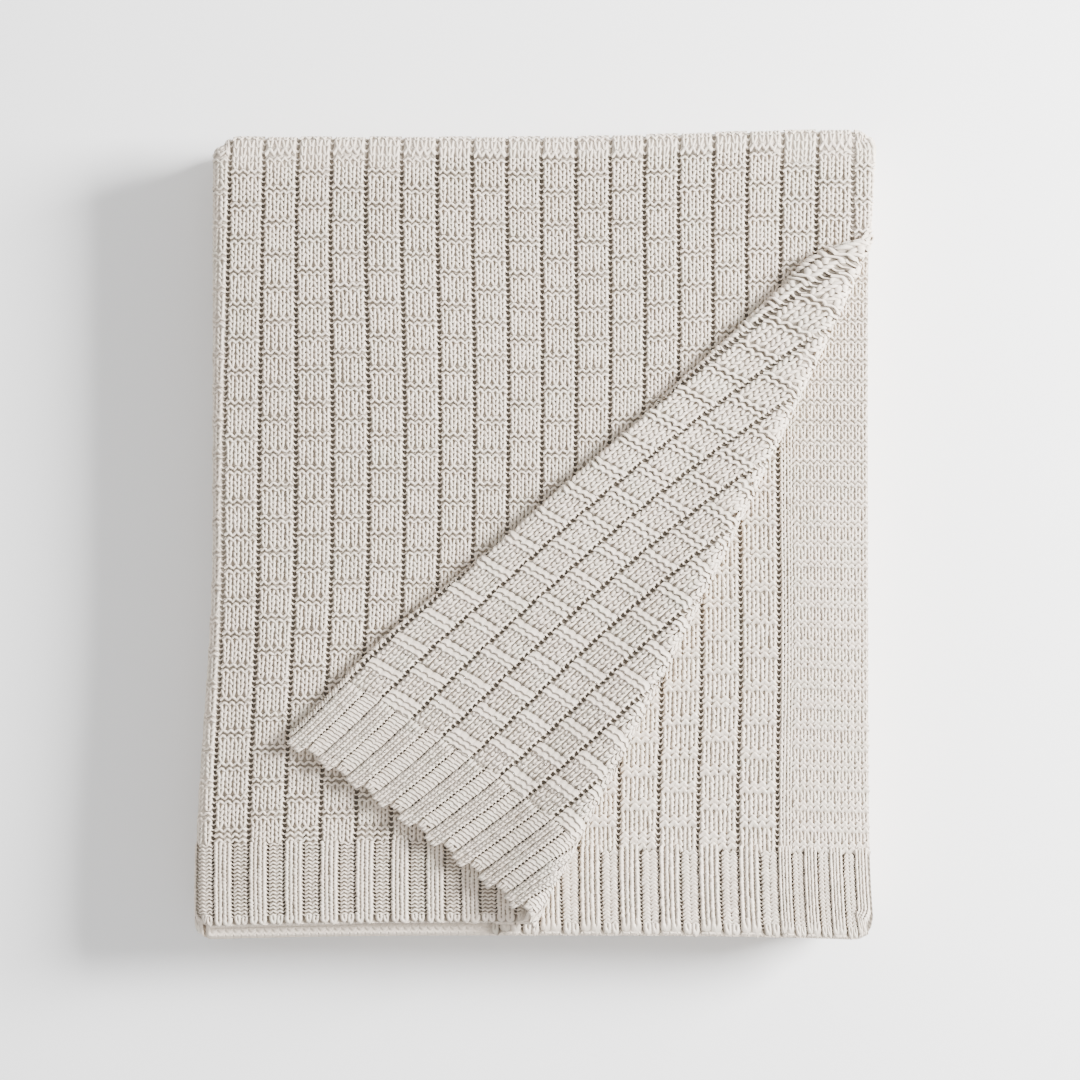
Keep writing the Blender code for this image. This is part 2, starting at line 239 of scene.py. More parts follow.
def smooth(share):
    """0 below 0, 1 above 1, and a soft step between."""
    share = np.clip(share, 0.0, 1.0)
    return share * share * (3 - 2 * share)


def stagger_hems(y, height, v):
    """The lower pair of layers starts a little before the upper pair, so that its hem shows."""
    lower = 1 - smooth(height / PITCH - 1.5)
    fade = 1 - smooth(v / (FAR_Y - HEM_Y))
    return y - HEM_STAGGER * lower * fade


def draw_outline(x, y):
    """The lie of a real throw in plan.

    The left side leans out at the hem, the back rises to the right, and the right side flares at its ends."""
    width, depth = RIGHT_X - LEFT_X, FAR_Y - HEM_Y
    from_right = np.clip((RIGHT_X - x) / width, 0, 1)
    from_hem = np.clip((y - HEM_Y) / depth, 0, 1)
    lean = smooth(y / (HEM_Y + LEAN_ENDS))
    flare = (y / (0.5 * depth)) ** FLARE_POWER * (1 - from_right) ** 2
    x_new = x - LEAN_LEFT * lean * from_right + FLARE_RIGHT * flare
    rise = RISE_FAR * smooth(x / (RISE_FULL * RIGHT_X)) * from_hem
    sag = HEM_SAG * np.abs(x / RIGHT_X) ** SAG_POWER * (1 - from_hem)
    return x_new, y + rise - sag


def into_corner(place, limits, reach):
    """How far places lie inside a corner's reach of the nearer of two limits, with a sign."""
    low, high = limits
    return np.maximum(place - high + reach, 0) - np.maximum(low + reach - place, 0)


def round_corners(x, y, square):
    """Draws the corners of the pile in to an arc, but for those that stay square."""
    reach = np.where((x < MIDDLE_X) & (y < 0), CORNER_LEFT_HEM, CORNER_ROUND)
    side, end = into_corner(x, SIDES, reach), into_corner(y, ENDS, reach)
    arc = np.maximum(np.abs(side), np.abs(end)) / np.maximum(np.hypot(side, end), 0.1 * MM)
    drawn = np.where((side != 0) & (end != 0) & ~square, 1 - arc, 0)
    return x - side * drawn, y - end * drawn


def turn_axes():
    """The turn line's length, and unit vectors along it and across it, towards the corner that turns."""
    run = np.array(TURN_HEM) - np.array(TURN_TOP)
    length = float(np.hypot(*run))
    along = run / length
    return length, along, np.array([-along[1], along[0]])


def past_turn(x, y):
    """How far along and how far past the turn line points of the throw lie, and the share of its length."""
    length, along, across = turn_axes()
    from_x, from_y = x - TURN_TOP[0], y - TURN_TOP[1]
    a = from_x * along[0] + from_y * along[1]
    share = np.clip(a / length, 0, 1)
    bow = TURN_BOW * np.sin(math.pi * share)
    return a, from_x * across[0] + from_y * across[1] - bow, share


def draw_out(a, share):
    """How many times wider the turned corner lies than the cloth it takes, at places along the turn line."""
    _, along, _ = turn_axes()
    bow = TURN_BOW * np.sin(math.pi * share)
    fold_edge = (a * along[0] - (RIGHT_X - TURN_TOP[0])) / along[1] - bow
    starts = smooth((a - DRAW_STARTS) / (DRAW_FULL - DRAW_STARTS))
    fades = 1 - smooth((share - DRAW_HOLDS) / (DRAW_ENDS - DRAW_HOLDS))
    return 1 + starts * np.minimum(FLAP_DRAW * fades / np.maximum(fold_edge, MM), DRAW_MOST)


def turn_back(x, y, z, turned):
    """The corner of the top pair, carried round the turn line and laid on the throw."""
    _, along, across = turn_axes()
    a, q, share = past_turn(x, y)
    bow = TURN_BOW * np.sin(math.pi * share)
    turned = turned & (q > 0)
    q = q * draw_out(a, share)
    inside = TURN_RADIUS_TOP + (TURN_RADIUS_HEM - TURN_RADIUS_TOP) * share
    neutral = inside + PITCH
    angle = np.clip(q / neutral, 0, math.pi)
    radius = inside + (PILE - z)
    past = np.maximum(q - math.pi * neutral, 0)
    down = (2 * inside - FLAP_GAP) * smooth(past / FLAP_SETTLES)
    q_new = bow + radius * np.sin(angle) - past
    a_new = a + TURN_SHEAR * past
    z_new = PILE + inside - radius * np.cos(angle) - down
    x_new = TURN_TOP[0] + a_new * along[0] + q_new * across[0]
    y_new = TURN_TOP[1] + a_new * along[1] + q_new * across[1]
    return np.where(turned, x_new, x), np.where(turned, y_new, y), np.where(turned, z_new, z)


def settle(x, y, z):
    """The pile sinks a little towards its sides, and its upper layers swell and dip."""
    half_x, half_y = 0.5 * (RIGHT_X - LEFT_X) + FOLD_OUT, 0.5 * (FAR_Y - HEM_Y) + FOLD_OUT
    to_side = np.minimum(half_x - np.abs(x - MIDDLE_X), half_y - np.abs(y))
    edge = 1 - smooth(to_side / DROOP_REACH)
    wave = np.sin(x / SWELL_ACROSS + y / SWELL_SKEW)
    wave *= np.cos(y / SWELL_ALONG - x / SWELL_SKEW)
    level = np.clip(z / PILE, 0, 1)
    return z * (1 - DROOP * edge) + SWELL * wave * level**2 * (1 - edge)


def in_top_pair(u, v):
    return (v <= V["upper_back_fold"]) & (u >= U["top_layer"]) & (u <= U["inner_fold"])


def lay_flat_on_strip(u, v, w):
    """Plan and height of points of the cloth before the corner is turned."""
    x, height = follow(ACROSS, u, w)
    y, z = follow(ALONG, v, height)
    x, y = round_corners(x, y, in_top_pair(u, v) & (x > MIDDLE_X) & (y < 0))
    y = stagger_hems(y, height, v)
    x, y = draw_outline(x, y)
    return x, y, z - UNDERSIDE


def fold(flat):
    """Carries points of the flat cloth to their places in the folded throw."""
    u, v, w = flat[:, 0], flat[:, 1], flat[:, 2]
    x, y, z = lay_flat_on_strip(u, v, w)
    x, y, z = turn_back(x, y, z, in_top_pair(u, v))
    return np.column_stack([x, y, settle(x, y, z)])


# Where the knit has drifted from straight lines: on which layer, about which place, how far
WANDERS = [
    Wander("top_layer", 0.000, 0.190, 0.050, 0.130, -0.0040, 0.000),
    Wander("top_layer", 0.110, 0.240, 0.060, 0.090, 0.0018, 0.000),
    Wander("top_layer", 0.060, 0.330, 0.035, 0.060, -0.0016, 0.001),
    Wander("top_layer", 0.180, 0.300, 0.060, 0.080, 0.0010, -0.002),
    Wander("top_layer", 0.240, 0.280, 0.050, 0.060, 0.0012, 0.0015),
    Wander("second_layer", 0.060, 0.165, 0.090, 0.100, -0.0078, 0.002),
    Wander("second_layer", 0.060, 0.000, 0.090, 0.050, -0.0036, 0.000),
    Wander("second_layer", 0.000, 0.330, 0.030, 0.040, 0.0030, 0.000),
    Wander("third_layer", 0.240, 0.120, 0.050, 0.060, 0.0012, 0.0015),
]


def drift(u, v):
    """Points of the pattern, moved to where the knit really lies on the flat cloth."""
    u_new, v_new = u.copy(), v.copy()
    for row in WANDERS:
        reach = ((u - U[row.layer] - row.u) / row.reach_u) ** 2 + ((v - row.v) / row.reach_v) ** 2
        share = np.exp(-reach)
        u_new += row.across * share
        v_new += row.along * share
    return u_new, v_new


# Stitches: which kind lies where

KNIT, PURL, RUNG, EDGE, RIB = 0, 1, 2, 3, 4
FORM_NAMES = ["form_0_knit", "form_1_purl", "form_2_rung", "form_3_edge", "form_4_rib"]
Wale = namedtuple("Wale", "u width number column")
Gauge = namedtuple("Gauge", "kind lift")
HemWale = namedtuple("HemWale", "kind place width lift edge_lift edge_v")
Band = namedtuple("Band", "piece low_u high_u low_v high_v")
U_AT, V_AT, LIFT_AT, WIDTH_AT, HEIGHT_AT, KIND_AT = range(6)  # columns of a table of stitches

LIFT_KNIT = 0.45 * MM
LIFT_PURL = 0.85 * MM
LIFT_RUNG = 0.0 * MM
LIFT_BORDER_PURL = 0.75 * MM
LIFT_BORDER_KNIT = 0.40 * MM
NOMINAL_WALE = 3.63 * MM
NOMINAL_COURSE = COURSE

# One column of a hem, from its ladder on: a knit rib, a line of small gaps, then a purl rib
HEM_WALES = [
    HemWale(RUNG, 0.0 * MM, 3.0 * MM, 0.05 * MM, 0.0, 0.0),
    HemWale(RIB, 2.45 * MM, 4.0 * MM, 1.05 * MM, 0.7 * MM, 2.4 * MM),
    HemWale(RIB, 6.5 * MM, 4.1 * MM, 1.25 * MM, 0.8 * MM, 2.1 * MM),
    HemWale(RUNG, 9.2 * MM, 2.7 * MM, 0.05 * MM, 0.0, 0.0),
    HemWale(PURL, 11.4 * MM, 3.1 * MM, 0.55 * MM, 0.2 * MM, 2.5 * MM),
    HemWale(PURL, 14.5 * MM, 3.1 * MM, 0.55 * MM, 0.2 * MM, 2.2 * MM),
]
RIB_STARTS = 0.6 * MM
RIB_ENDS = 8.5 * MM
GROOVE_PLACE = 9.2 * MM  # of the line of gaps between the ribs of a hem
GROOVE_HALF = 0.6 * MM
EDGE_COURSES = 2  # courses that the edge of a hem takes
EDGE_DEEP = 3.9 * MM


def column_wales(start, pitch, column):
    """The ladder at the start of a column and the wales after it, left to right."""
    width = (pitch - LADDER) / WALES
    rows = [Wale(start, NOMINAL_WALE, -1, column)]
    for number in range(WALES):
        rows.append(Wale(start + LADDER / 2 + width * (number + 0.5), width, number, column))
    return rows


def main_wales():
    """All the wales of the outer fold, the top layer, the first fold and the second layer."""
    rows = []
    first = -int((U["top_layer"] + FIRST_GROOVE) / COLUMN)
    last = int((U["inner_fold"] - U["top_layer"]) / COLUMN)
    for column in range(first, last):
        rows += column_wales(U["top_layer"] + FIRST_GROOVE + column * COLUMN, COLUMN, column)
    return rows


def under_wales():
    """The wales of the third layer, counted back from its side border."""
    rows = []
    for column in range(int((BORDER_U - U["third_layer"]) / UNDER_COLUMN)):
        rows += column_wales(BORDER_U - UNDER_COLUMN * (column + 1), UNDER_COLUMN, column + 1)
    rows.append(Wale(BORDER_U, NOMINAL_WALE, -1, 0))
    return rows


def body_gauge(wale, course):
    """Kind and lift of a stitch: every other column is set off by half a repeat."""
    if wale.number < 0:
        return Gauge(RUNG, LIFT_RUNG)
    even = wale.column % 2 == 0
    shifted = (course + PURL_ROWS + (REPEAT // 2) * even) % REPEAT
    if shifted < PURL_ROWS or (even and course == 0):
        return Gauge(PURL, LIFT_PURL)
    return Gauge(KNIT, LIFT_KNIT)


def hem_rows(start, pitch, high_u):
    """The stitches of one column of a hem, in rows like those of knit_rows."""
    rows = []
    stretch = pitch / COLUMN
    for wale in HEM_WALES:
        u = start + wale.place * stretch
        width = wale.width * stretch
        if u > high_u - 0.4 * width:
            continue
        for course in range(EDGE_COURSES, HEM_COURSES):
            v = (course + 0.5) * HEM_COURSE
            rows.append((u, v, wale.lift, width, HEM_COURSE, wale.kind))
        if wale.kind != RUNG:
            rows.append((u, wale.edge_v, wale.edge_lift, width, EDGE_DEEP, EDGE))
    return rows


def knit_rows(wales, v_end, pitch):
    """Rows of (u, v, lift, width, height, kind) for these wales, from the hem to v_end."""
    rows = []
    for wale in wales:
        for course in range(int((v_end - HEM_DEPTH) / COURSE)):
            gauge = body_gauge(wale, course)
            v = HEM_DEPTH + (course + 0.5) * COURSE
            rows.append((wale.u, v, gauge.lift, wale.width, COURSE, gauge.kind))
        if wale.number < 0:
            rows += hem_rows(wale.u, pitch, U["end"] if wale.column else BORDER_U + LADDER)
    return rows


def border_rows(v_end):
    """The third layer's side border: plain wales, then cross ridges, and narrow ribs in the hem."""
    rows = []
    start = BORDER_U + LADDER / 2
    edge_wales = [start + EDGE_WALE * (number + 0.5) for number in range(EDGE_WALES)]
    ridge_start = start + EDGE_WALE * EDGE_WALES
    wales = [ridge_start + BORDER_WALE * (number + 0.5) for number in range(BORDER_WALES)]
    for u in edge_wales:
        for course in range(int((v_end - HEM_DEPTH) / COURSE)):
            v = HEM_DEPTH + (course + 0.5) * COURSE
            rows.append((u, v, LIFT_KNIT, EDGE_WALE, COURSE, KNIT))
    for u in wales:
        for course in range(int((v_end - HEM_DEPTH) / BORDER_COURSE)):
            v = HEM_DEPTH + (course + 0.5) * BORDER_COURSE
            gauge = Gauge(PURL, LIFT_BORDER_PURL) if course % 4 < 2 else Gauge(KNIT, LIFT_BORDER_KNIT)
            rows.append((u, v, gauge.lift, BORDER_WALE, BORDER_COURSE, gauge.kind))
    for rib in range(BORDER_RIBS):
        rows += hem_rows(BORDER_U + BORDER_RIB * rib, BORDER_RIB, U["end"])
    return rows


BORDER_RIBS = int(BORDER_WIDTH / BORDER_RIB) + 1
BORDER_WALES = int((BORDER_WIDTH - LADDER / 2 - EDGE_WALE * EDGE_WALES) / BORDER_WALE)


def flap_outline():
    """The turned corner's edge in plan: its folded edge from the top down, then the hem back to the turn."""
    fold_u = 0.5 * (U["first_fold"] + U["second_layer"])
    edge_v = np.linspace(V["upper_back_fold"] * FLAP_TOP, 0, OUTLINE_STEPS)
    nought = np.zeros(OUTLINE_STEPS)
    edge = np.column_stack([nought + fold_u, edge_v, nought])
    hem_u = np.linspace(U["second_layer"], U["second_layer"] + FLAP_HEM, OUTLINE_STEPS)
    hem = np.column_stack([hem_u, nought, nought])
    return fold(np.concatenate([edge, hem]))[:, :2]


def inside_outline(points, outline):
    """Whether points lie inside a closed outline, and how far they are from its corners."""
    x, y = points[:, 0], points[:, 1]
    inside = np.zeros(len(points), bool)
    nearest = np.full(len(points), np.inf)
    for (x0, y0), (x1, y1) in zip(outline, np.roll(outline, -1, axis=0)):
        crosses = (y0 > y) != (y1 > y)
        rise = y1 - y0 if abs(y1 - y0) > 1e-12 else 1e-12
        inside ^= crosses & (x < x0 + (y - y0) / rise * (x1 - x0))
        nearest = np.minimum(nearest, np.hypot(x - x0, y - y0))
    return inside, nearest


def shows_on_top(u, v):
    """Which places of the top layer and its first fold are neither turned under nor covered by the flap."""
    x, y, _ = lay_flat_on_strip(u, v, np.zeros_like(u))
    _, q, _ = past_turn(x, y)
    inside, nearest = inside_outline(np.column_stack([x, y]), flap_outline())
    return (q < 1 * MM) & (~inside | (nearest < COVER))


COVER = 8 * MM  # stitches are laid this far under what covers them
SHOWS_IN = 3 * MM  # and this far in from the folds that show from the sides

# The folds below the top, as stretches of the flat cloth
LEFT_FOLDS = (U["outer_fold"] - SHOWS_IN, U["top_layer"] + SHOWS_IN)
RIGHT_FOLDS = (U["first_fold"] - SHOWS_IN, U["second_layer"])
FRONT_FOLD = (V["front_fold"] - SHOWS_IN, V["third_pass"] + SHOWS_IN)
LOW_BACK = (V["lower_back_fold"] - SHOWS_IN, V["lowest_pass"] + SHOWS_IN)
BANDS = [
    Band("stitches_left_folds", *LEFT_FOLDS, V["second_pass"], V["end"]),
    Band("stitches_right_folds", *RIGHT_FOLDS, V["second_pass"], V["end"]),
    Band("stitches_front_fold", 0, LEFT_FOLDS[0], *FRONT_FOLD),
    Band("stitches_low_back", LEFT_FOLDS[1], RIGHT_FOLDS[0], *LOW_BACK),
]


def in_band(band, u, v):
    return (u >= band.low_u) & (u < band.high_u) & (v >= band.low_v) & (v < band.high_v)


def beyond_turn(u, v, reach):
    """Whether places of the flat cloth lie past the turn line, or no farther than that before it."""
    x, y, _ = lay_flat_on_strip(u, v, np.zeros_like(u))
    _, q, _ = past_turn(x, y)
    return q > -reach


def split_rows():
    """The stitches that show, by the piece they belong to."""
    main = np.array(knit_rows(main_wales(), V["end"], COLUMN))
    u, v = drift(main[:, U_AT], main[:, V_AT])
    upper = v < V["upper_back_fold"]
    top = upper & (u >= LEFT_FOLDS[0]) & (u < U["first_fold"]) & shows_on_top(u, v)
    folded_edge = upper & (u >= U["first_fold"]) & (u < U["second_layer"])
    turned = upper & (u >= U["second_layer"]) & (u < U["inner_fold"]) & beyond_turn(u, v, MM)
    over_back = ~upper & (v < V["second_pass"]) & (u >= U["outer_fold"]) & (u < U["second_layer"])
    third = (U["first_fold"] - U["top_layer"]) / 3
    in_left, in_right = u < U["top_layer"] + third, u >= U["top_layer"] + 2 * third
    pieces = {
        "stitches_top_left": main[top & in_left],
        "stitches_top_middle": main[top & ~in_left & ~in_right],
        "stitches_top_right": main[top & in_right],
        "stitches_flap": main[turned | folded_edge],
        "stitches_back_fold": main[over_back],
    }
    for band in BANDS:
        pieces[band.piece] = main[in_band(band, u, v)]
    under_end = V["upper_back_fold"]
    under = np.array(knit_rows(under_wales(), under_end, UNDER_COLUMN) + border_rows(under_end))
    pieces["stitches_under"] = under[beyond_turn(*drift(under[:, U_AT], under[:, V_AT]), COVER)]
    return pieces


# Stitch forms, in millimetres about the middle of a stitch of the nominal size

KNIT_LEG = [(0.36, -1.35, -0.20), (0.70, -0.45, 0.20), (1.08, 0.55, 0.18), (1.10, 1.42, -0.40)]
LEG_RADIUS = 0.69
RIB_LEG = [(0.66, -1.6, -0.1), (0.78, -0.60, 0.16), (1.02, 0.60, 0.18), (1.10, 1.6, -0.25)]
RIB_RADIUS = 0.74
PURL_RADIUS = 0.65
PURL_WAVE = 0.64
PURL_LOW = 0.20  # the ridge lies this far below the middle of its course
PURL_ARCH = 0.12
PURL_OVERLAP = 1.04
PURL_STEPS = 6
RUNG_HALF = [(0.0, -0.35, -0.15), (0.85, 0.05, 0.05), (1.7, 0.75, 0.50)]
RUNG_RADIUS = 0.42
EDGE_LOOP = [(0.85, 1.15, 0.20), (1.05, 0.3, 0.35), (0.78, -0.45, 0.10), (-0.1, -0.85, -0.25)]
EDGE_RADIUS = 0.95
ROUND_STEPS = 3
ROUND_DEG = 200


def strand(path, radius):
    """Points, faces and crown of a length of yarn along a path, open below, where it lies on the cloth.

    The crown of a point is 1 on top of the yarn and 0 at its sides."""
    path = np.array(path, float)
    ahead = np.gradient(path, axis=0)
    ahead /= np.linalg.norm(ahead, axis=1)[:, None]
    side = np.column_stack([ahead[:, 1], -ahead[:, 0], np.zeros(len(path))])
    side /= np.linalg.norm(side, axis=1)[:, None]
    up = np.cross(side, ahead)
    angles = np.radians(np.linspace(90 + ROUND_DEG / 2, 90 - ROUND_DEG / 2, ROUND_STEPS + 1))
    rings = [path + radius * (math.cos(a) * side + math.sin(a) * up) for a in angles]
    points = np.stack(rings, axis=1).reshape(-1, 3)
    across = ROUND_STEPS + 1
    faces = []
    for step in range(len(path) - 1):
        for number in range(ROUND_STEPS):
            corner = step * across + number
            faces.append((corner, corner + 1, corner + across + 1, corner + across))
    crown = np.clip(np.sin(angles), 0, 1) / np.sin(angles).max()
    return points, faces, np.tile(crown, len(path))


def purl_path():
    """A purl stitch's part of a wavy ridge, a little longer than its wale so that neighbours meet."""
    steps = np.linspace(-0.5, 0.5, PURL_STEPS + 1)
    wave = PURL_WAVE * np.cos(2 * math.pi * steps) - PURL_LOW
    arch = PURL_ARCH * np.cos(2 * math.pi * steps)
    return np.column_stack([steps * NOMINAL_WALE / MM * PURL_OVERLAP, wave, arch])


def both_legs(path, radius):
    """A leg and its mirror image."""
    return [(path, radius), ([(-x, y, z) for x, y, z in path], radius)]


def form_strands(kind):
    """The lengths of yarn in one stitch of a kind, each as a path and a radius."""
    if kind == KNIT:
        return both_legs(KNIT_LEG, LEG_RADIUS)
    if kind == PURL:
        return [(purl_path(), PURL_RADIUS)]
    if kind == RUNG:
        return both_legs(RUNG_HALF, RUNG_RADIUS)
    if kind == RIB:
        return both_legs(RIB_LEG, RIB_RADIUS)
    return both_legs(EDGE_LOOP, EDGE_RADIUS)


def make_form(kind, collection):
    points, faces, crowns = [], [], []
    for path, radius in form_strands(kind):
        some, quads, crown = strand(path, radius)
        faces += [tuple(corner + len(points) for corner in quad) for quad in quads]
        points += [tuple(point * MM) for point in some]
        crowns += list(crown)
    mesh = bpy.data.meshes.new(FORM_NAMES[kind])
    mesh.from_pydata(points, [], faces)
    add_values(mesh, "crown", crowns)
    mesh.shade_smooth()
    form = bpy.data.objects.new(FORM_NAMES[kind], mesh)
    collection.objects.link(form)
    return form


# Geometry Nodes tree that lays the stitches

def new_socket(tree, name, kind, default=None):
    socket = tree.interface.new_socket(name=name, in_out="INPUT", socket_type=kind)
    if default is not None:
        socket.default_value = default
    return socket


def add_node(tree, kind, inputs=(), **settings):
    """A node of a tree with its settings made and its inputs linked or set."""
    node = tree.nodes.new(kind)
    for name, value in settings.items():
        setattr(node, name, value)
    for name, value in dict(inputs).items():
        if isinstance(value, bpy.types.NodeSocket):
            tree.links.new(value, node.inputs[name])
        else:
            node.inputs[name].default_value = value
    return node


def add_maths(tree, operation, first, second):
    return add_node(tree, "ShaderNodeMath", {0: first, 1: second}, operation=operation).outputs[0]


def stitch_tree():
    """Lays one form on each point, picked by the point's kind and sized by its size."""
    tree = bpy.data.node_groups.new("Lay stitches", "GeometryNodeTree")
    tree.is_modifier = True
    new_socket(tree, "Places", "NodeSocketGeometry")
    new_socket(tree, "Forms", "NodeSocketCollection")
    new_socket(tree, "Yarn", "NodeSocketMaterial")
    new_socket(tree, "Unevenness", "NodeSocketFloat", 0.1)
    new_socket(tree, "Twist", "NodeSocketFloat", 0.1)
    new_socket(tree, "Seed", "NodeSocketInt", 7)
    tree.interface.new_socket(name="Stitches", in_out="OUTPUT", socket_type="NodeSocketGeometry")
    given = add_node(tree, "NodeGroupInput").outputs
    forms = add_node(
        tree, "GeometryNodeCollectionInfo",
        {"Collection": given["Forms"], "Separate Children": True, "Reset Children": True},
    )
    size = add_node(
        tree, "GeometryNodeInputNamedAttribute", {"Name": "stitch_size"}, data_type="FLOAT_VECTOR"
    )
    kind = add_node(tree, "GeometryNodeInputNamedAttribute", {"Name": "stitch_kind"}, data_type="INT")
    low = add_maths(tree, "SUBTRACT", 1.0, given["Unevenness"])
    high = add_maths(tree, "ADD", 1.0, given["Unevenness"])
    random_size = add_node(
        tree, "FunctionNodeRandomValue",
        {"Min": low, "Max": high, "Seed": given["Seed"]}, data_type="FLOAT_VECTOR",
    )
    scale = add_node(
        tree, "ShaderNodeVectorMath", {0: size.outputs[0], 1: random_size.outputs[0]}, operation="MULTIPLY"
    )
    less = add_maths(tree, "MULTIPLY", given["Twist"], -1.0)
    next_seed = add_maths(tree, "ADD", given["Seed"], 1.0)
    twist = add_node(
        tree, "FunctionNodeRandomValue",
        {2: less, 3: given["Twist"], "Seed": next_seed}, data_type="FLOAT",
    )
    angles = add_node(tree, "ShaderNodeCombineXYZ", {"Z": twist.outputs[1]})
    turn = add_node(tree, "FunctionNodeEulerToRotation", {0: angles.outputs[0]})
    laid = add_node(
        tree, "GeometryNodeInstanceOnPoints",
        {
            "Points": given["Places"], "Instance": forms.outputs[0], "Pick Instance": True,
            "Instance Index": kind.outputs[0], "Rotation": turn.outputs[0], "Scale": scale.outputs[0],
        },
    )
    real = add_node(tree, "GeometryNodeRealizeInstances", {0: laid.outputs[0]})
    dyed = add_node(tree, "GeometryNodeSetMaterial", {"Geometry": real.outputs[0], "Material": given["Yarn"]})
    add_node(tree, "NodeGroupOutput", {0: dyed.outputs[0]})
    return tree


def set_input(modifier, name, value):
    """Sets a modifier's input by the name that its tree gives it."""
    for item in modifier.node_group.interface.items_tree:
        if item.item_type == "SOCKET" and item.in_out == "INPUT" and item.name == name:
            modifier[item.identifier] = value
            return
    raise ValueError(f"the tree has no input {name}")


def point_object(name, rows, knit):
    """The places of the stitches as points of the flat cloth, with the size, kind and shade of each."""
    u, v = drift(rows[:, U_AT], rows[:, V_AT])
    mesh = bpy.data.meshes.new(name + "_places")
    mesh.from_pydata(np.column_stack([u, v, rows[:, LIFT_AT]]).tolist(), [], [])
    wide, high = rows[:, WIDTH_AT] / NOMINAL_WALE, rows[:, HEIGHT_AT] / NOMINAL_COURSE
    size = np.column_stack([wide, high, depth_scale(np.minimum(wide, high))])
    add_values(mesh, "stitch_size", size.ravel(), "FLOAT_VECTOR", "vector")
    add_values(mesh, "stitch_kind", rows[:, KIND_AT].astype(int), "INT")
    chance = np.random.default_rng(knit.seed)
    add_values(mesh, "shade", np.clip(chance.normal(0.5, SHADE_SPREAD, len(rows)), 0, 1))
    return put_in_scene(name + "_places", mesh)


SHADE_SPREAD = 0.2
DEPTH_KEPT, DEPTH_SCALED = 0.55, 0.45
DEPTH_LEAST, DEPTH_MOST = 0.6, 1.1


def depth_scale(tight):
    """A stitch in a tight course or a narrow wale is of the same yarn, so it keeps most of its depth."""
    return np.clip(DEPTH_KEPT + DEPTH_SCALED * tight, DEPTH_LEAST, DEPTH_MOST)


def points_of(mesh):
    points = np.empty(len(mesh.vertices) * 3)
    mesh.vertices.foreach_get("co", points)
    return points.reshape(-1, 3)


def add_values(mesh, name, values, kind="FLOAT", slot="value"):
    """A value for each point of a mesh, under that name."""
    mesh.attributes.new(name, kind, "POINT").data.foreach_set(slot, values)


def put_in_scene(name, data):
    thing = bpy.data.objects.new(name, data)
    bpy.context.scene.collection.objects.link(thing)
    return thing


def carry(mesh):
    """Carries a mesh's points from the flat cloth to the folded throw."""
    folded = fold(points_of(mesh))
    folded[:, 2] = np.maximum(folded[:, 2], 0.0)  # it lies flat on what it rests on
    mesh.vertices.foreach_set("co", folded.ravel())
    mesh.update()


def lay_stitches(name, rows, forms, tree, yarn, knit):
    """One piece of stitches, laid on the flat cloth and then carried to its folds."""
    places = point_object(name, rows, knit)
    modifier = places.modifiers.new("Stitches", "NODES")
    modifier.node_group = tree
    set_input(modifier, "Forms", forms)
    set_input(modifier, "Yarn", yarn)
    set_input(modifier, "Unevenness", knit.unevenness)
    set_input(modifier, "Twist", knit.twist)
    set_input(modifier, "Seed", knit.seed)
    places.update_tag()
    bpy.context.view_layer.update()
    graph = bpy.context.evaluated_depsgraph_get()
    mesh = bpy.data.meshes.new_from_object(places.evaluated_get(graph))
    mesh.name = name
    places.modifiers.remove(modifier)
    bpy.data.objects.remove(places, do_unlink=True)
    carry(mesh)
    mesh.shade_smooth()
    if not mesh.materials:
        mesh.materials.append(yarn)
    return put_in_scene(name, mesh)


# Cloth under the stitches

FLAP_SHOWS = 190 * MM  # of the second layer, from its fold
UNDER_SHOWS = 186 * MM  # of the third layer, before its border
HIDDEN_STEP_ACROSS = 20 * MM
HIDDEN_STEP_ALONG = 30 * MM
HEM_STEP = 6 * MM
BODY_STEP = 3.5 * COURSE
OUTER_STEP = 1.8 * MM
EDGE_STEP = 1.1 * MM
INNER_STEP = 1.0 * MM
FOLD_STEP = 2.2 * MM
BESIDE_GROOVES = (-1.2, -0.7, 0.7, 1.2, 8.3, 8.7, 9.7, 10.1)  # millimetres from a column's ladder
EDGE_CLOSE = 8 * MM  # the sheet's lines are close together this far from the flap's folded edge
# within half of this from the hem's edge the sheet takes no painted shade
EDGE_PALE = 0.7 * MM
HEM_JOIN = 0.4 * MM
ROLL_PALE = 15 * MM  # of the cloth that goes round the turn, which takes less painted shade


def sheet_lines(start, end, step):
    count = max(1, round((end - start) / step))
    return [start + (end - start) * number / count for number in range(count)]


def groove_lines(first, pitch, count, low, high):
    """Lines beside each ladder and rib of a stretch of columns, for those that lie inside it."""
    starts = [first + pitch * number for number in range(count)]
    lines = [start + offset * MM * abs(pitch) / COLUMN for start in starts for offset in BESIDE_GROOVES]
    return [line for line in lines if low < line < high]


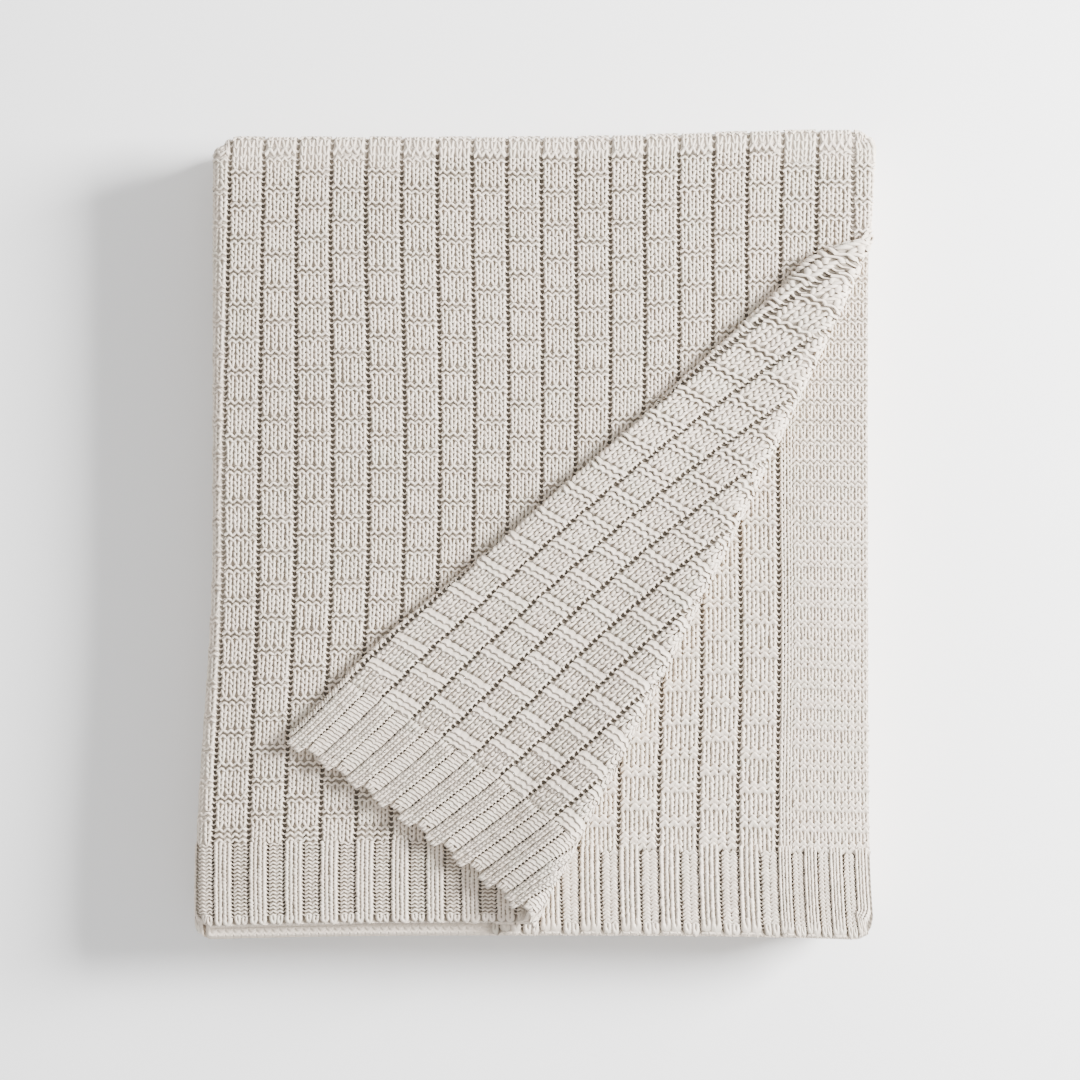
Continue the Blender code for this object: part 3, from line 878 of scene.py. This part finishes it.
def across_lines():
    """The u of every line of the sheet."""
    first, columns = U["top_layer"] + FIRST_GROOVE, int((U["inner_fold"] - U["top_layer"]) / COLUMN)
    edge_start, edge_end = U["first_fold"] - EDGE_CLOSE, U["second_layer"] + EDGE_CLOSE
    flap_end, under_start = U["second_layer"] + FLAP_SHOWS, BORDER_U - UNDER_SHOWS
    lines = sheet_lines(0, U["outer_fold"], HIDDEN_STEP_ACROSS)
    lines += sheet_lines(U["outer_fold"], U["top_layer"], OUTER_STEP)
    lines += groove_lines(first, COLUMN, columns, U["top_layer"], edge_start - MM)
    lines += sheet_lines(edge_start, edge_end, EDGE_STEP) + [edge_end]
    lines += groove_lines(first, COLUMN, columns, edge_end + MM, flap_end)
    lines += sheet_lines(flap_end + 5 * MM, U["inner_fold"], HIDDEN_STEP_ACROSS)
    lines += sheet_lines(U["inner_fold"], U["third_layer"], INNER_STEP)
    lines += sheet_lines(U["third_layer"], under_start, HIDDEN_STEP_ACROSS)
    under = round(UNDER_SHOWS / UNDER_COLUMN) + 1
    lines += groove_lines(BORDER_U, -UNDER_COLUMN, under, under_start, BORDER_U)
    lines += groove_lines(BORDER_U, BORDER_RIB, BORDER_RIBS, BORDER_U, U["end"] - MM) + [U["end"]]
    return sorted({round(line, 6) for line in lines})


def along_lines():
    """The v of every line of the sheet."""
    lines = sheet_lines(0, HEM_DEPTH, HEM_STEP) + [EDGE_PALE, HEM_DEPTH - HEM_JOIN, V["end"]]
    lines += sheet_lines(HEM_DEPTH, V["upper_back_fold"], BODY_STEP)
    for row in ALONG[1:]:
        step = HIDDEN_STEP_ALONG if isinstance(row, Run) else FOLD_STEP
        lines += sheet_lines(V[row.name], V[row.name] + length_of(row), step)
    return sorted({round(line, 6) for line in lines})


def place_in_column(u):
    """How far points lie from the ladder of their column, from its left, and the column's pitch."""
    main = (u < U["inner_fold"]) & (u > U["outer_fold"])
    in_border = u > BORDER_U + LADDER
    pitch = np.where(main, COLUMN, np.where(in_border, BORDER_RIB, UNDER_COLUMN))
    first = np.where(main, U["top_layer"] + FIRST_GROOVE, BORDER_U)
    place = np.mod(u - first + 0.5 * LADDER, pitch) - 0.5 * LADDER
    return place, pitch


def stitched(u, v):
    """Where stitches are laid on the sheet."""
    upper = (v < V["second_pass"]) & (u > LEFT_FOLDS[0])
    third = (u > U["inner_fold"]) & (v < V["upper_back_fold"]) & beyond_turn(u, v, COVER)
    shows = upper & ((u < U["inner_fold"]) | third)
    for band in BANDS:
        shows = shows | in_band(band, u, v)
    return shows


def on_folds(u, v):
    """Where the knit is drawn round a fold that shows from above, and closes up; there the sheet comes nearer
    and takes less painted shade, which paints these folds paler.
    """
    x, y, _ = lay_flat_on_strip(u, v, np.zeros_like(u))
    a, q, share = past_turn(x, y)
    roll = in_top_pair(u, v) & (q > 0) & (q * draw_out(a, share) < ROLL_PALE)
    side = (u > U["outer_fold"]) & (u < U["top_layer"] + MM)
    back = (v > V["upper_back_fold"]) & (v < V["second_pass"])
    return roll | side | back


def in_ladder(u, v):
    """In a ladder, or in the line of gaps between the ribs of a hem, but not in its edge."""
    place, pitch = place_in_column(u)
    stretch = pitch / COLUMN
    in_hem = v < HEM_DEPTH
    in_border = (u > BORDER_U + LADDER) & ~in_hem
    gaps = in_hem & (np.abs(place - GROOVE_PLACE * stretch) < GROOVE_HALF * stretch)
    return (((np.abs(place) < 0.5 * LADDER * stretch) & ~in_border) | gaps) & (v > EDGE_DEEP)


def sheet_rise(u, v, shows, folds):
    """How far the sheet's right side stands off its mean: ribs up, ladders down and full where bare."""
    place, pitch = place_in_column(u)
    stretch = pitch / COLUMN
    rib = (place > RIB_STARTS * stretch) & (place < RIB_ENDS * stretch) & (v < HEM_DEPTH)
    rise = BASE_TOP + np.where(rib, RIB_RAISED, 0)
    rise = np.where(in_ladder(u, v), BASE_TOP - LADDER_DEEP, rise) + BASE_ON_FOLDS * folds
    return np.where(shows, rise, BASE_BARE)


def sheet_painted_shade(u, v, shows, folds):
    """How much painted shade the sheet's right side takes, by how far into the knit it lies: most in a
    ladder, less under other stitches and on folds.
    """
    on_border = (u > BORDER_U + LADDER) & (v > HEM_DEPTH)
    between = np.where(on_border, SHADE_IN_BORDER, SHADE_IN_BODY)
    depth = np.where(in_ladder(u, v), SHADE_IN_LADDER, between) - LESS_SHADE_ON_FOLDS * folds
    return np.where(shows & (v > 0.5 * EDGE_PALE), depth, 0.0)


def set_faces(flat):
    """Shapes the two faces of the flat sheet and moves its lines to where the knit lies.

    Gives back the painted shade of each point, by how far into the knit it lies, and its place on the cloth
    before it was moved."""
    pattern = flat[:, :2].copy()
    u, v = pattern.T
    flat[:, 0], flat[:, 1] = drift(u, v)
    shows, folds = stitched(flat[:, 0], flat[:, 1]), on_folds(flat[:, 0], flat[:, 1])
    right_side = flat[:, 2] > 0.5 * (flat[:, 2].min() + flat[:, 2].max())
    flat[:, 2] = np.where(right_side, sheet_rise(u, v, shows, folds), BASE_UNDER)
    return np.where(right_side, sheet_painted_shade(u, v, shows, folds), 0.0), pattern


def make_sheet(material):
    """The cloth itself: a grid with a line for each fold, ladder and rib, given two faces and folded."""
    across, along = across_lines(), along_lines()
    cloth = bmesh.new()
    bmesh.ops.create_grid(cloth, x_segments=len(across) - 1, y_segments=len(along) - 1, size=0.5)
    for point in cloth.verts:
        column = round((point.co.x + 0.5) * (len(across) - 1))
        row = round((point.co.y + 0.5) * (len(along) - 1))
        point.co = (across[column], along[row], 0)
    bmesh.ops.solidify(cloth, geom=cloth.faces[:] + cloth.edges[:] + cloth.verts[:], thickness=THICKNESS)
    mesh = bpy.data.meshes.new("cloth")
    cloth.to_mesh(mesh)
    cloth.free()
    flat = points_of(mesh)
    depth, pattern = set_faces(flat)
    # the painted shade of each point, kept under the name depth
    add_values(mesh, "depth", depth)
    mesh.vertices.foreach_set("co", flat.ravel())
    add_flat_map(mesh, pattern)
    carry(mesh)
    mesh.materials.append(material)
    mesh.shade_smooth()
    return put_in_scene("cloth", mesh)


def add_flat_map(mesh, pattern):
    """The place of each point on the flat cloth, as a UV map in metres."""
    layer = mesh.uv_layers.new(name="flat_cloth")
    corners = np.empty(len(mesh.loops), int)
    mesh.loops.foreach_get("vertex_index", corners)
    layer.data.foreach_set("uv", pattern[corners].ravel())


# Shaders

Noise = namedtuple("Noise", "scale detail")
FLECKS = Noise(260.0, 3.0)
DRIFTS = Noise(75.0, 2.0)
WARMTH = Noise(60.0, 2.0)
FIBRES = Noise(1900.0, 4.0)
SPECKS = Noise(900.0, 3.0)
YARN_FINISH = {"Roughness": 0.92, "Sheen Weight": 0.25, "Sheen Roughness": 0.5, "Specular IOR Level": 0.2}
CLOTH_FINISH = {"Roughness": 0.95, "Specular IOR Level": 0.1}
MIX_FIRST, MIX_SECOND, MIX_RESULT = 6, 7, 2  # a Mix node's sockets for colours


class Socket:
    """A shader socket that can be added, multiplied and compared like a number."""

    def __init__(self, tree, socket):
        self.tree = tree
        self.socket = socket

    def math(self, operation, other, reflected=False):
        node = self.tree.nodes.new("ShaderNodeMath")
        node.operation = operation
        pair = (other, self) if reflected else (self, other)
        for slot, value in zip(node.inputs, pair):
            if isinstance(value, Socket):
                self.tree.links.new(value.socket, slot)
            else:
                slot.default_value = value
        return Socket(self.tree, node.outputs[0])

    def __add__(self, other):
        return self.math("ADD", other)

    __radd__ = __add__

    def __sub__(self, other):
        return self.math("SUBTRACT", other)

    def __rsub__(self, other):
        return self.math("SUBTRACT", other, reflected=True)

    def __mul__(self, other):
        return self.math("MULTIPLY", other)

    __rmul__ = __mul__

    def function(self, operation):
        """A function of this socket alone, such as a sine."""
        node = self.tree.nodes.new("ShaderNodeMath")
        node.operation = operation
        self.tree.links.new(self.socket, node.inputs[0])
        return Socket(self.tree, node.outputs[0])


class Shader:
    """Builds one material's tree."""

    def __init__(self, name):
        self.material = bpy.data.materials.new(name)
        self.material.use_nodes = True
        self.tree = self.material.node_tree
        self.surface = self.tree.nodes["Principled BSDF"]

    def node(self, kind, inputs=(), **settings):
        made = self.tree.nodes.new(kind)
        for name, value in settings.items():
            setattr(made, name, value)
        for name, value in dict(inputs).items():
            self.feed(made.inputs[name], value)
        return made

    def feed(self, slot, value):
        if isinstance(value, Socket):
            self.tree.links.new(value.socket, slot)
        elif isinstance(value, bpy.types.NodeSocket):
            self.tree.links.new(value, slot)
        else:
            slot.default_value = value

    def value(self, socket):
        return Socket(self.tree, socket)

    def mix(self, share, first, second):
        made = self.node("ShaderNodeMix", data_type="RGBA")
        self.feed(made.inputs["Factor"], share)
        self.feed(made.inputs[MIX_FIRST], first)
        self.feed(made.inputs[MIX_SECOND], second)
        return made.outputs[MIX_RESULT]

    def noise(self, place, kind):
        made = self.node("ShaderNodeTexNoise", {"Vector": place, "Scale": kind.scale, "Detail": kind.detail})
        return self.value(made.outputs[0])

    def attribute(self, name):
        return self.value(self.node("ShaderNodeAttribute", attribute_name=name).outputs["Fac"])

    def finish(self, values):
        """Sets what is the same all over the surface."""
        for name, value in values.items():
            self.surface.inputs[name].default_value = value

    def cover(self, colour, height, strength, distance):
        """Feeds the surface its colour and its relief."""
        bump = self.node("ShaderNodeBump", {"Height": height, "Strength": strength, "Distance": distance})
        self.feed(self.surface.inputs["Base Color"], colour)
        self.feed(self.surface.inputs["Normal"], bump.outputs[0])

    def place(self):
        return self.node("ShaderNodeTexCoord").outputs["Object"]


def yarn_material(colours):
    """Matt cotton yarn: stitches a little lighter or darker, with warm and green flecks and fine fibres, and
    painted shade at the sides of each strand.
    """
    shader = Shader("oat_yarn")
    place = shader.place()
    drifts = shader.noise(place, DRIFTS)
    tone = (shader.attribute("shade") - 0.5) * 0.45 + (shader.noise(place, FLECKS) - 0.5) * 1.1 + 0.5
    base = shader.mix(tone, (*colours.shadow, 1), (*colours.light, 1))
    tinted = shader.mix((drifts - 0.46) * 2.2, base, shader.mix(0.5, base, (*colours.green, 1)))
    warm = shader.noise(place, WARMTH)
    warmed = shader.mix((warm - 0.5) * 2.0, tinted, shader.mix(0.5, tinted, (*colours.warm, 1)))
    # painted shade: each strand is painted darker towards its sides, away from its crown
    sides = (1.0 - shader.attribute("crown")) * colours.side_shade_share
    final = shader.mix(sides, warmed, (*colours.painted_shade_soft, 1))
    shader.cover(final, shader.noise(place, FIBRES), strength=0.35, distance=0.4 * MM)
    shader.finish(YARN_FINISH)
    return shader.material


def cloth_material(colours):
    """The cloth under the stitches: painted shade in the gaps of the knit, darkest in the ladders, and plain
    knit where no stitch is laid on it.
    """
    shader = Shader("cloth_yarn")
    spots = shader.noise(shader.place(), SPECKS)
    # painted shade: the depth attribute paints the cloth darker, towards the two shade colours
    depth = shader.attribute("depth")
    bare = shader.mix(spots, (*colours.shadow, 1), (*colours.light, 1))
    under = shader.mix(depth * 2.0, bare, (*colours.painted_shade_soft, 1))
    base = shader.mix(depth * 2.0 - 1.0, under, (*colours.painted_shade_deep, 1))
    flat_map = shader.node("ShaderNodeUVMap", uv_map="flat_cloth").outputs[0]
    parts = shader.node("ShaderNodeSeparateXYZ", {0: flat_map}).outputs
    across = (shader.value(parts[0]) * (math.pi / NOMINAL_WALE)).function("SINE").function("ABSOLUTE")
    legs = (shader.value(parts[1]) * (2 * math.pi / NOMINAL_COURSE) + across * 3.0).function("SINE")
    shader.cover(base, across * 0.6 + legs * 0.4 + spots * 0.3, strength=0.6, distance=0.8 * MM)
    shader.finish(CLOTH_FINISH)
    return shader.material


def plain_material(name, colour, roughness):
    shader = Shader(name)
    shader.finish({"Base Color": (*colour, 1), "Roughness": roughness})
    return shader.material


# Stage

Lamp = namedtuple("Lamp", "name place side")
KEY = Lamp("key", (1.50, 0.40, 0.82), 0.65)
FILL = Lamp("fill", (-0.25, -0.2, 1.9), 1.6)
MIDDLE = (0, 0, 0)
FLOOR_ROUGHNESS = 0.9
SENSOR_WIDTH = 36.0


def aim(thing, target):
    offset = np.array(target) - np.array(thing.location)
    flat = math.hypot(offset[0], offset[1])
    thing.rotation_euler = (math.atan2(flat, -offset[2]), 0, math.atan2(offset[1], offset[0]) - math.pi / 2)


def add_light(lamp, power):
    data = bpy.data.lights.new(lamp.name, "AREA")
    data.shape = "SQUARE"
    data.size = lamp.side
    data.energy = power
    light = put_in_scene(lamp.name, data)
    light.location = lamp.place
    aim(light, MIDDLE)
    return light


def add_floor(stage):
    floor_mesh = bmesh.new()
    bmesh.ops.create_grid(floor_mesh, x_segments=1, y_segments=1, size=stage.floor_size / 2)
    mesh = bpy.data.meshes.new("floor")
    floor_mesh.to_mesh(mesh)
    floor_mesh.free()
    mesh.materials.append(plain_material("floor_white", tuple(stage.floor_colour), FLOOR_ROUGHNESS))
    return put_in_scene("floor", mesh)


def add_camera(stage):
    data = bpy.data.cameras.new("camera")
    data.lens = stage.lens
    data.sensor_width = SENSOR_WIDTH
    camera = put_in_scene("camera", data)
    distance = stage.view_width * stage.lens / data.sensor_width
    camera.location = (stage.view_x, stage.view_y, distance + PILE)
    bpy.context.scene.camera = camera
    return camera


def set_world(stage):
    world = bpy.data.worlds.new("studio")
    world.use_nodes = True
    background = world.node_tree.nodes["Background"]
    background.inputs["Color"].default_value = (*stage.sky_colour, 1)
    background.inputs["Strength"].default_value = stage.sky_strength
    bpy.context.scene.world = world


# Settings

class ThrowKnitSettings(bpy.types.PropertyGroup):
    unevenness: FloatProperty(name="Unevenness", description="How much stitches differ in size", default=0.13,
                              min=0, max=0.5, subtype="FACTOR")
    twist: FloatProperty(name="Twist", description="How far stitches turn on the cloth", default=0.17,
                         min=0, max=1, unit="ROTATION")
    seed: IntProperty(name="Seed", description="Seed of the uneven stitches", default=11)


class ThrowYarnColours(bpy.types.PropertyGroup):
    light: FloatVectorProperty(name="Light", description="Yarn at its lightest", subtype="COLOR",
                               default=(0.93, 0.82, 0.705))
    shadow: FloatVectorProperty(name="Dark", description="Yarn at its darkest", subtype="COLOR",
                                default=(0.63, 0.535, 0.435))
    green: FloatVectorProperty(name="Green fleck", description="Cool flecks", subtype="COLOR",
                               default=(0.67, 0.68, 0.55))
    warm: FloatVectorProperty(name="Warm fleck", description="Warm flecks", subtype="COLOR",
                              default=(0.80, 0.67, 0.61))
    # painted shade: the colours of the gaps between stitches and of the strands' sides
    painted_shade_deep: FloatVectorProperty(name="Deep", description="Yarn deep between stitches", subtype="COLOR",
                              default=(0.125, 0.105, 0.083))
    painted_shade_soft: FloatVectorProperty(name="Deep light", description="Lighter yarn between stitches",
                                    subtype="COLOR", default=(0.30, 0.255, 0.205))
    # how much painted shade lies on the sides of each strand
    side_shade_share: FloatProperty(name="Dark sides", description="How much darker yarn is at its sides",
                              default=0.6, min=0, max=1, subtype="FACTOR")


class ThrowStageSettings(bpy.types.PropertyGroup):
    floor_size: FloatProperty(name="Floor", description="Side of the floor", default=6.0, unit="LENGTH")
    floor_colour: FloatVectorProperty(name="Floor colour", description="Colour of the floor", subtype="COLOR",
                                      default=(0.95, 0.95, 0.95))
    sky_colour: FloatVectorProperty(name="Sky colour", description="Colour of the light all round",
                                    subtype="COLOR", default=(1.0, 1.0, 1.0))
    sky_strength: FloatProperty(name="Sky strength", description="Strength of the light all round",
                                default=0.85)
    key_power: FloatProperty(name="Key power", description="Power of the light on the right", default=182.0,
                             unit="POWER")
    fill_power: FloatProperty(name="Fill power", description="Power of the light above", default=8.0,
                              unit="POWER")
    lens: FloatProperty(name="Lens", description="Focal length of the camera in millimetres", default=100.0)
    view_width: FloatProperty(name="View width", description="Width that the picture takes in",
                              default=0.5184, unit="LENGTH")
    view_x: FloatProperty(name="View X", description="Middle of the picture", default=0.00264, unit="LENGTH")
    view_y: FloatProperty(name="View Y", description="Middle of the picture", default=-0.00266, unit="LENGTH")


# Operators

class THROW_OT_cloth(bpy.types.Operator):
    """Make the folded cloth that the stitches lie on"""

    bl_idname = "throw.cloth"
    bl_label = "Make cloth"

    def execute(self, context):
        piece = make_sheet(cloth_material(context.scene.throw_colours))
        if piece is None:
            raise RuntimeError("the cloth was not made")
        return {"FINISHED"}


class THROW_OT_stitches(bpy.types.Operator):
    """Lay every stitch that shows, and carry them to the folds"""

    bl_idname = "throw.stitches"
    bl_label = "Knit stitches"

    def execute(self, context):
        scene = context.scene
        yarn = yarn_material(scene.throw_colours)
        forms = bpy.data.collections.new("stitch_forms")
        scene.collection.children.link(forms)
        made = [make_form(kind, forms) for kind in (KNIT, PURL, RUNG, EDGE, RIB)]
        tree = stitch_tree()
        for name, rows in split_rows().items():
            piece = lay_stitches(name, rows, forms, tree, yarn, scene.throw_knit)
            if not len(piece.data.polygons):
                raise RuntimeError(f"{name} has no stitches")
        for form in made:
            bpy.data.objects.remove(form, do_unlink=True)
        bpy.data.collections.remove(forms)
        return {"FINISHED"}


class THROW_OT_stage(bpy.types.Operator):
    """Set the floor, lights, sky and camera"""

    bl_idname = "throw.stage"
    bl_label = "Set stage"

    def execute(self, context):
        stage = context.scene.throw_stage
        add_floor(stage)
        add_light(KEY, stage.key_power)
        add_light(FILL, stage.fill_power)
        set_world(stage)
        add_camera(stage)
        return {"FINISHED"}


class THROW_PT_panel(bpy.types.Panel):
    """The throw's settings and steps"""

    bl_label = "Knitted throw"
    bl_idname = "THROW_PT_panel"
    bl_space_type = "VIEW_3D"
    bl_region_type = "UI"
    bl_category = "Throw"

    def draw(self, context):
        for group in (context.scene.throw_knit, context.scene.throw_colours, context.scene.throw_stage):
            for name in group.bl_rna.properties.keys():
                if name not in {"rna_type", "name"}:
                    self.layout.prop(group, name)
        for operator in (THROW_OT_cloth, THROW_OT_stitches, THROW_OT_stage):
            self.layout.operator(operator.bl_idname)


CLASSES = (
    ThrowKnitSettings,
    ThrowYarnColours,
    ThrowStageSettings,
    THROW_OT_cloth,
    THROW_OT_stitches,
    THROW_OT_stage,
    THROW_PT_panel,
)


def register():
    for each in CLASSES:
        bpy.utils.register_class(each)
    bpy.types.Scene.throw_knit = PointerProperty(type=ThrowKnitSettings)
    bpy.types.Scene.throw_colours = PointerProperty(type=ThrowYarnColours)
    bpy.types.Scene.throw_stage = PointerProperty(type=ThrowStageSettings)


def unregister():
    del bpy.types.Scene.throw_stage
    del bpy.types.Scene.throw_colours
    del bpy.types.Scene.throw_knit
    for each in reversed(CLASSES):
        bpy.utils.unregister_class(each)


def declare():
    """Hangs each piece on the root body, and hides the blanket part that the pieces stand in for."""
    cloth = bpy.data.objects["cloth"]
    stitches = [piece for piece in bpy.data.objects if piece.name.startswith("stitches_")]
    for piece in [cloth, *stitches]:
        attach(piece, "root")
    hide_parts("blanket")


def main():
    register()
    bpy.ops.throw.cloth()
    bpy.ops.throw.stitches()
    bpy.ops.throw.stage()
    declare()
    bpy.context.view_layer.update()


if __name__ == "__main__":
    main()
